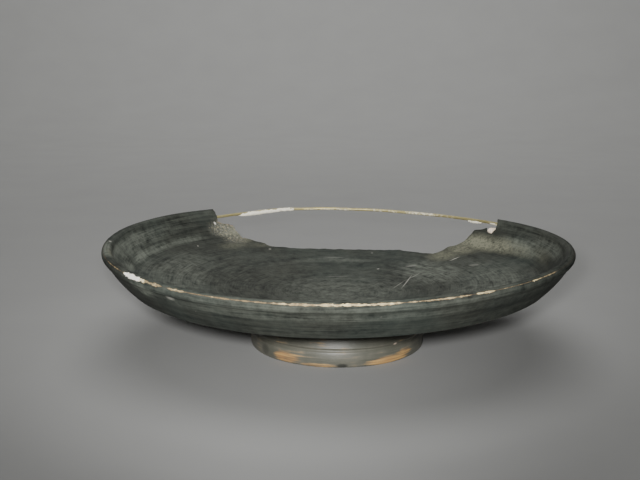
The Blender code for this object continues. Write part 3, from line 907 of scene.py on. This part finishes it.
def broken_clay_material(c):
    """Fired clay in the old break: a dry, granular, buff-orange face, stained grey by dust."""
    material, shader, add = new_material("fired clay, broken long ago")
    place = add("TexCoord", out="Object")
    grains = add("TexNoise", {"Vector": place, "Scale": 1 / (0.9 * MILLIMETRE), "Detail": 3.0})
    stain = add("TexNoise", {"Vector": place, "Scale": 1 / (7 * MILLIMETRE), "Detail": 4.0})
    dirty = add("MapRange", (stain, 0.38, 0.60, 0.50, 0.95))
    dark = add("MapRange", (grains, 0.34, 0.52, 0.65, 0.0))
    ground = c.clay
    for share, shade in ((dirty, c.dust), (dark, c.clay_dark)):
        ground = add("Mix", {0: share, 6: ground, 7: shade}, out=2, data_type="RGBA")
    bump = add("Bump", {"Distance": 0.25 * MILLIMETRE, "Height": grains})
    set_shader(shader, Base_Color=ground, Normal=bump, Roughness=0.92)
    return material


def foot_material(c):
    """Foot with a thin greyish wash over the clay, wiped off or worn through to orange in places.

    It gives an olive-grey, lightly polished ring with warm patches along the resting edge, and painted shade
    that darkens its top under the plate.
    """
    material, shader, add = new_material("thin wash on turned clay")
    turned, around, _, height, section = turned_places(add)
    fine = turning_streaks(add, around, section, 0.7, 3.0, 3.0)
    cloud = add("TexNoise", {"Vector": turned, "Scale": 1 / (9 * MILLIMETRE), "Detail": 4.0})
    grit = add("TexNoise", {"Vector": turned, "Scale": 1 / (1.2 * MILLIMETRE), "Detail": 2.0})
    tone = add("Math.MULTIPLY_ADD", (fine, 0.8, cloud))
    thick = add("MapRange", (tone, 0.75, 1.10))
    # Painted shade: the top of the foot darkens under the plate
    shade_under_the_plate = add("MapRange", (height, 8.5 * MILLIMETRE, 12.0 * MILLIMETRE, 0.0, 0.5))
    nibble = add("Math.MULTIPLY_ADD", (fine, 1.2, cloud))
    nibble = add("Math.MULTIPLY_ADD", (nibble, 2.2, -2.40))
    warm = add("Math.ADD", (marks_mask(add, turned, FOOT_BARE), nibble))
    warm = add("MapRange", (warm, 0.35, 1.45, 0.0, 0.95))
    golden = add("MapRange", (fine, 0.40, 0.62, 0.1, 1.0))
    bare = add("Mix", {0: golden, 6: c.clay, 7: c.clay_gold}, out=2, data_type="RGBA")
    ground = c.darker_wash_and_shade
    for share, shade in ((thick, c.wash), (shade_under_the_plate, c.darker_wash_and_shade), (warm, bare),
                         (marks_mask(add, turned, FOOT_STAINS), c.gloss),
                         (marks_mask(add, turned, FOOT_CHIPS), c.plaster_pink)):
        ground = add("Mix", {0: share, 6: ground, 7: shade}, out=2, data_type="RGBA")
    relief = add("Math.MULTIPLY_ADD", (fine, 1.5, grit))
    rough = add("MapRange", (warm, 0.0, 1.0, 0.46, 0.75))
    bump = add("Bump", {"Distance": 0.05 * MILLIMETRE, "Height": relief})
    set_shader(shader, Base_Color=ground, Roughness=rough, Normal=bump)
    return material


def brass_material(c):
    """Drawn brass wire, long in the air: dull golden olive, with a thin film of plaster on some stretches."""
    material, shader, add = new_material("drawn brass wire, tarnished")
    place = add("TexCoord", out="Object")
    film = add("Attribute", out="Fac", attribute_name="film")
    tarnish = add("TexNoise", {"Vector": place, "Scale": 1 / (3 * MILLIMETRE), "Detail": 4.0})
    grains = add("TexNoise", {"Vector": place, "Scale": 1 / (1.3 * MILLIMETRE), "Detail": 3.0})
    dull = add("MapRange", (tarnish, 0.38, 0.62, 0.0, 0.8))
    covered = add("Math.ADD", (film, grains))
    covered = add("MapRange", (covered, 0.88, 1.18, 0.0, 0.8))
    ground = c.brass
    for share, shade in ((dull, c.brass_dark), (covered, c.plaster)):
        ground = add("Mix", {0: share, 6: ground, 7: shade}, out=2, data_type="RGBA")
    bright = add("MapRange", (dull, 0.0, 0.8, 0.9, 0.4))
    metallic = add("Mix", {0: covered, 2: bright, 3: 0.0})
    rough = add("MapRange", (covered, 0.0, 1.0, 0.5, 0.9))
    bump = add("Bump", {"Distance": 0.08 * MILLIMETRE, "Height": covered})
    set_shader(shader, Base_Color=ground, Metallic=metallic, Roughness=rough, Normal=bump)
    return material


def plaster_material(c):
    """Old plaster, spread wet and long dry: chalky white with ochre stains and a crumbly skin."""
    material, shader, add = new_material("dried plaster")
    place = add("TexCoord", out="Object")
    pink = add("Attribute", out="Fac", attribute_name="pink")
    stain = add("TexNoise", {"Vector": place, "Scale": 1 / (2.5 * MILLIMETRE), "Detail": 4.0})
    crumbs = add("TexNoise", {"Vector": place, "Scale": 1 / (0.5 * MILLIMETRE), "Detail": 3.0})
    stained = add("MapRange", (stain, 0.54, 0.70, 0.0, 0.45))
    ground = c.plaster
    for share, shade in ((pink, c.plaster_pink), (stained, c.clay_pale)):
        ground = add("Mix", {0: share, 6: ground, 7: shade}, out=2, data_type="RGBA")
    bump = add("Bump", {"Distance": 0.12 * MILLIMETRE, "Height": crumbs})
    set_shader(shader, Base_Color=ground, Normal=bump, Roughness=0.95)
    return material


def paper_material(c):
    """Seamless background paper: matt and even."""
    material, shader, add = new_material("matt background paper")
    place = add("TexCoord", out="Object")
    fibres = add("TexNoise", {"Vector": place, "Scale": 1 / (60 * MILLIMETRE), "Detail": 3.0})
    shade = add("ValToRGB", (fibres,), stops=((0.3, c.paper), (0.7, [v * 0.96 for v in c.paper])))
    set_shader(shader, Base_Color=shade, Roughness=0.9)
    return material


def make_break_cutter(s, clay):
    """A block with the plan of the missing piece and ragged, leaning sides, to leave the broken faces."""
    outline = break_outline(s)
    count = len(outline)
    left, right = BREAK_LINE[0][0], BREAK_LINE[-1][0]
    outside = [polar(right + (left - right) * step / BREAK_OUTSIDE_STEPS, s.rim_radius + s.rim_height)
               for step in range(BREAK_OUTSIDE_STEPS + 1)]
    lowest = CUTTER_BASE_SHARE * s.rim_height
    cutter = draw_line("missing piece", [(p.x, p.y, lowest) for p in outline + outside])
    bpy.ops.mesh.select_all(action="SELECT")
    bpy.ops.mesh.edge_face_add()
    layers = round(s.rim_height / BREAK_STEP)
    for _ in range(layers):
        bpy.ops.mesh.extrude_region_move(TRANSFORM_OT_translate={"value": (0, 0, s.rim_height / layers)})
    bpy.ops.mesh.select_all(action="SELECT")
    bpy.ops.mesh.normals_make_consistent(inside=False)
    bpy.ops.object.mode_set(mode="OBJECT")
    tree = kdtree.KDTree(count)
    for index, point in enumerate(outline):
        tree.insert(point, index)
    tree.balance()
    places = read_vertices(cutter)[0]
    for row, place in enumerate(places):
        point, index, distance = tree.find(Vector((place[0], place[1], 0)))
        if distance > MERGE or not 0 < index < count - 1:
            continue
        way = outline[min(index + 3, count - 1)] - outline[max(index - 3, 0)]
        side = Vector((-way.y, way.x, 0)).normalized()
        lean = BREAK_LEAN * noise.noise(point / BREAK_LEAN_LENGTH + Vector((3.1, 0, 0)))
        depth = inner_height(s, point.length) - place[2]
        at = Vector((point.x, point.y, place[2]))
        ragged = sum(height * noise.noise(at / size) for height, size in BREAK_GRAINS)
        push = max(-BREAK_LEAN_LIMIT, min(BREAK_LEAN_LIMIT, -lean * depth)) + ragged
        if index < count * LIP_END_SHARE:
            push -= LIP_END_CHIP * min(1.0, max(0.0, 1 - (s.rim_height - place[2]) / s.lip_thickness))
        places[row, 0] += side.x * push
        places[row, 1] += side.y * push
    move_vertices(cutter, places)
    cutter.data.materials.append(clay)
    return cutter


def store_masks(piece):
    """Keep each vertex's place on the turned plate, how worn, dusty or flaked it is there, and how much veil
    and painted light lies on it.
    """
    places, normals = read_vertices(piece)
    keep_on_vertices(piece, "turned", places)
    wear = np.zeros(len(places))
    white = np.zeros(len(places))
    for azimuth, reach, strength, whiteness in LIP_WEAR:
        worn = strength * np.clip(1.8 * (1.3 - turns_from(places, azimuth) / reach), 0, 1)
        white = np.where(worn > wear, whiteness, white)
        wear = np.maximum(wear, worn)
    keep_on_vertices(piece, "wear", wear)
    keep_on_vertices(piece, "white", white)
    keep_on_vertices(piece, "dust", patch_strength(places, DUST_PATCHES, 0.9))
    # Little dust settles on faces that look straight down, and they get little of the painted light and sheen
    # either
    settled = np.clip((normals[:, 2] + 0.95) / 0.25, 0.2, 1)
    keep_on_vertices(piece, "veil", patch_strength(places, VEILS_AND_PAINTED_LIGHT, 0.8) * settled)
    keep_on_vertices(piece, "flaked", patch_strength(places, SPALLS, 0.9))
    return wear


def roughen(s, piece, wear):
    """The turned plate's low relief: wheel marks, unevenness, the rubbed lip, and flakes near the break."""
    places, normals = read_vertices(piece)
    radii = np.hypot(places[:, 0], places[:, 1])
    section = (radii + places[:, 2])[:, None] * np.array([[1.0, 0.0, 0.0]])
    height = WHEEL_MARK_DEPTH * grain(section, WHEEL_MARK_WIDTH)
    height += UNEVEN_DEPTH * grain(places, UNEVEN_LENGTH, 5.0)
    crest_radius, crest_height = lip_crest(s)
    from_crest = np.hypot(radii - crest_radius, places[:, 2] - crest_height)
    rubbed = wear * np.exp(-(from_crest / LIP_RUB_REACH) ** 2)
    height -= LIP_RUB_DEPTH * rubbed * (1 + grain(places, LIP_RUB_GRAIN, 9.0))
    flaking = 0.8 + 0.5 * grain(places, SPALL_GRAIN, 2.0)
    for spall in SPALLS:
        height -= SPALL_DEPTH * patch_strength(places, [spall], 0.35) * flaking
    above_foot = np.clip((places[:, 2] - MILLIMETRE) / (2 * MILLIMETRE), 0, 1)
    move_vertices(piece, places + normals * (height * above_foot)[:, None])


class PlateStep:
    """What the operators share."""

    bl_options = {"REGISTER", "UNDO"}


class PLATE_OT_plate(PlateStep, bpy.types.Operator):
    """Turn the plate, break a piece out of it, warp it and give it its gloss"""

    bl_idname = "plate.turn_plate"
    bl_label = "Plate"

    def execute(self, context):
        s = context.scene.plate_sizes
        c = context.scene.plate_colours
        profile = upper_profile(s)
        profile += lower_profile(s, profile[-1])[1:]
        piece = draw_line("turned_plate", [(radius, 0.0, height) for radius, height in profile])
        turn_round(piece, TURNING_STEPS)
        gloss, clay, foot = gloss_material(s, c), broken_clay_material(c), foot_material(c)
        piece.data.materials.append(gloss)
        piece.data.materials.append(foot)
        neck = floor_height(s, s.foot_radius) - FOOT_ROOT_THICKNESS
        for face in piece.data.polygons:
            if face.center.z < neck and face.center.xy.length < s.foot_radius + FOOT_BELLY:
                face.material_index = piece.data.materials.find(foot.name)
        cut(piece, make_break_cutter(s, clay))
        route = wire_route(s, HOLE_ROUTE_STEPS)
        for way in (route, route[::-1]):
            hole = draw_bar("wire hole", way[:HOLE_POINTS], s.wire_diameter / 2 + WIRE_ROOM, HOLE_SIDES)
            cut(piece, hole)
        trim_cut(piece, clay)
        roughen(s, piece, store_masks(piece))
        places = read_vertices(piece)[0]
        warp(s, places)
        move_vertices(piece, places)
        finish_mesh(piece, 40)
        hand_over(piece, "plate")
        return {"FINISHED"}


class PLATE_OT_wire(PlateStep, bpy.types.Operator):
    """Draw the brass wire across the gap, with its small kinks and its film of plaster"""

    bl_idname = "plate.draw_wire"
    bl_label = "Bridging wire"

    def execute(self, context):
        s = context.scene.plate_sizes
        points = []
        swell = []
        for point in wire_route(s, WIRE_STEPS):
            place = point / WIRE_KINK_LENGTH
            kink = Vector([noise.noise(place + Vector((shift, 0, 0))) for shift in (1.3, 5.1, 8.7)])
            points.append(point + kink * WIRE_KINK)
            swell.append(1.0 + WIRE_SWELL * noise.noise(point / WIRE_SWELL_LENGTH))
        wire = draw_bar("brass_wire", points, s.wire_diameter / 2, WIRE_SIDES, swell)
        places, normals = read_vertices(wire)
        film = np.zeros(len(places))
        for azimuth, reach, strength, below in WIRE_FILM:
            share = strength * np.clip(2 * (1 - turns_from(places, azimuth) / reach), 0, 1)
            if below:
                share *= np.clip(1 - 2 * normals[:, 2], 0, 1)
            film = np.maximum(film, share)
        keep_on_vertices(wire, "film", film)
        lumps = np.clip(film + 0.5 * grain(places, FILM_GRAIN, 4.0) - 0.45, 0, 1)
        move_vertices(wire, places + normals * (FILM_DEPTH * lumps)[:, None])
        wire.data.materials.append(brass_material(context.scene.plate_colours))
        finish_mesh(wire, 50)
        hand_over(wire, "bridging_wire")
        return {"FINISHED"}


class PLATE_OT_plaster(PlateStep, bpy.types.Operator):
    """Shape the crusts of plaster along the wire and the lump at its right end"""

    bl_idname = "plate.shape_plaster"
    bl_label = "Old plaster"

    def execute(self, context):
        s = context.scene.plate_sizes
        plaster = plaster_material(context.scene.plate_colours)
        for name, node, first, last, radii, drops in CRUSTS:
            steps = round(abs(first - last) * CRUST_STEPS_PER_DEGREE)
            points = []
            swell = []
            for step in range(steps + 1):
                t = step / steps
                drop = Vector((0, 0, smooth_through(drops, t)))
                points.append(wire_middle(s, first + (last - first) * t) - drop)
                swell.append(smooth_through(radii, t) / radii[1] * min(1.0, 0.25 + 9 * min(t, 1 - t)))
            crust = draw_bar(name, points, radii[1], CRUST_SIDES, swell)
            self.crumble(crust, CRUST_CRUMBLE)
            crust.data.materials.append(plaster)
            hand_over(crust, node)
        select_only()
        bpy.ops.mesh.primitive_ico_sphere_add(subdivisions=5, radius=1.0, enter_editmode=True)
        middle = wire_middle(s, LUMP_AZIMUTH) - polar(LUMP_AZIMUTH, LUMP_INSET, LUMP_DROP)
        turn = math.radians(90 - LUMP_AZIMUTH)
        bpy.ops.transform.resize(value=(LUMP_LENGTH / 2, LUMP_DEPTH / 2, LUMP_HEIGHT / 2))
        bpy.ops.transform.rotate(value=turn, orient_axis="Z", center_override=(0, 0, 0))
        bpy.ops.transform.translate(value=middle)
        bpy.ops.object.mode_set(mode="OBJECT")
        lump = context.object
        lump.name = "plaster_in_the_corner"
        self.crumble(lump, LUMP_CRUMBLE, LUMP_PINK)
        lump.data.materials.append(plaster)
        hand_over(lump, "plaster_lump")
        return {"FINISHED"}

    def crumble(self, piece, depth, pink=0.0):
        """Give a piece of plaster its crumbly skin."""
        places, normals = read_vertices(piece)
        height = grain(places, CRUMB_SIZE, 1.0) + 0.5 * grain(places, FINE_CRUMB_SIZE, 6.0)
        move_vertices(piece, places + normals * (height * depth)[:, None])
        keep_on_vertices(piece, "pink", np.full(len(places), pink))
        finish_mesh(piece, 60)


class PLATE_OT_stage(PlateStep, bpy.types.Operator):
    """Set up the pale floor, the soft lights and the camera"""

    bl_idname = "plate.set_stage"
    bl_label = "Stage, lights and camera"

    def execute(self, context):
        section = [(0.0, 0.0)] + [(STAGE_FLAT * share, 0.0) for share in (0.25, 0.5, 0.75, 1.0)]
        for step in range(1, STAGE_CURVE_STEPS + 1):
            angle = math.radians(90 * step / STAGE_CURVE_STEPS)
            section.append((STAGE_FLAT + STAGE_CURVE * math.sin(angle), STAGE_CURVE * (1 - math.cos(angle))))
        section.append((STAGE_FLAT + STAGE_CURVE, STAGE_HEIGHT))
        floor = draw_line("paper_sweep", [(radius, 0.0, height) for radius, height in section])
        turn_round(floor, STAGE_STEPS)
        floor.data.materials.append(paper_material(context.scene.plate_colours))
        finish_mesh(floor, 40)
        for name, kind, place, aim, size, power in LIGHTS:
            select_only()
            bpy.ops.object.light_add(type=kind, location=place)
            light = context.object
            light.name = name
            light.rotation_euler = (Vector(aim) - Vector(place)).to_track_quat("-Z", "Y").to_euler()
            if kind == "AREA":
                light.data.shape = "DISK"
                light.data.size = size
            else:
                light.data.shadow_soft_size = size
                light.data.spot_size = math.radians(SPOT_CONE)
                light.data.spot_blend = 1.0
            light.data.energy = power
            light.visible_camera = False
        world = bpy.data.worlds.new("even studio light")
        world.use_nodes = True
        glow = world.node_tree.nodes["Background"].inputs
        glow["Color"].default_value = linear(WORLD_COLOUR)
        glow["Strength"].default_value = WORLD_STRENGTH
        context.scene.world = world
        bpy.ops.object.camera_add(location=(0, 0, 0))
        camera = context.object
        camera.data.lens = CAMERA_LENS
        camera.data.sensor_width = CAMERA_SENSOR
        camera.matrix_world = (Matrix.Translation(CAMERA_PLACE)
                               @ Matrix.Rotation(math.radians(90 - CAMERA_PITCH), 4, "X")
                               @ Matrix.Rotation(math.radians(CAMERA_ROLL), 4, "Z"))
        context.scene.camera = camera
        return {"FINISHED"}


class PLATE_PT_pieces(bpy.types.Panel):
    """Pieces of the plate, their sizes and their colours"""

    bl_idname = "PLATE_PT_pieces"
    bl_label = "Plate"
    bl_space_type = "VIEW_3D"
    bl_region_type = "UI"
    bl_category = "Plate"

    def draw(self, context):
        for operator in OPERATORS:
            self.layout.operator(operator.bl_idname)
        for group in (context.scene.plate_sizes, context.scene.plate_colours):
            column = self.layout.column(align=True)
            for name in group.__annotations__:
                column.prop(group, name)


OPERATORS = (PLATE_OT_stage, PLATE_OT_plate, PLATE_OT_wire, PLATE_OT_plaster)
CLASSES = (PlateSizes, PlateColours, *OPERATORS, PLATE_PT_pieces)


def register():
    """Make the pieces, sizes and colours known."""
    for each in CLASSES:
        bpy.utils.register_class(each)
    bpy.types.Scene.plate_sizes = PointerProperty(type=PlateSizes)
    bpy.types.Scene.plate_colours = PointerProperty(type=PlateColours)


def unregister():
    """Forget the pieces, sizes and colours."""
    del bpy.types.Scene.plate_colours
    del bpy.types.Scene.plate_sizes
    for each in reversed(CLASSES):
        bpy.utils.unregister_class(each)


def main():
    """Build the plate on its stage."""
    register()
    bpy.ops.plate.set_stage()
    bpy.ops.plate.turn_plate()
    bpy.ops.plate.draw_wire()
    bpy.ops.plate.shape_plaster()


if __name__ == "__main__":
    main()
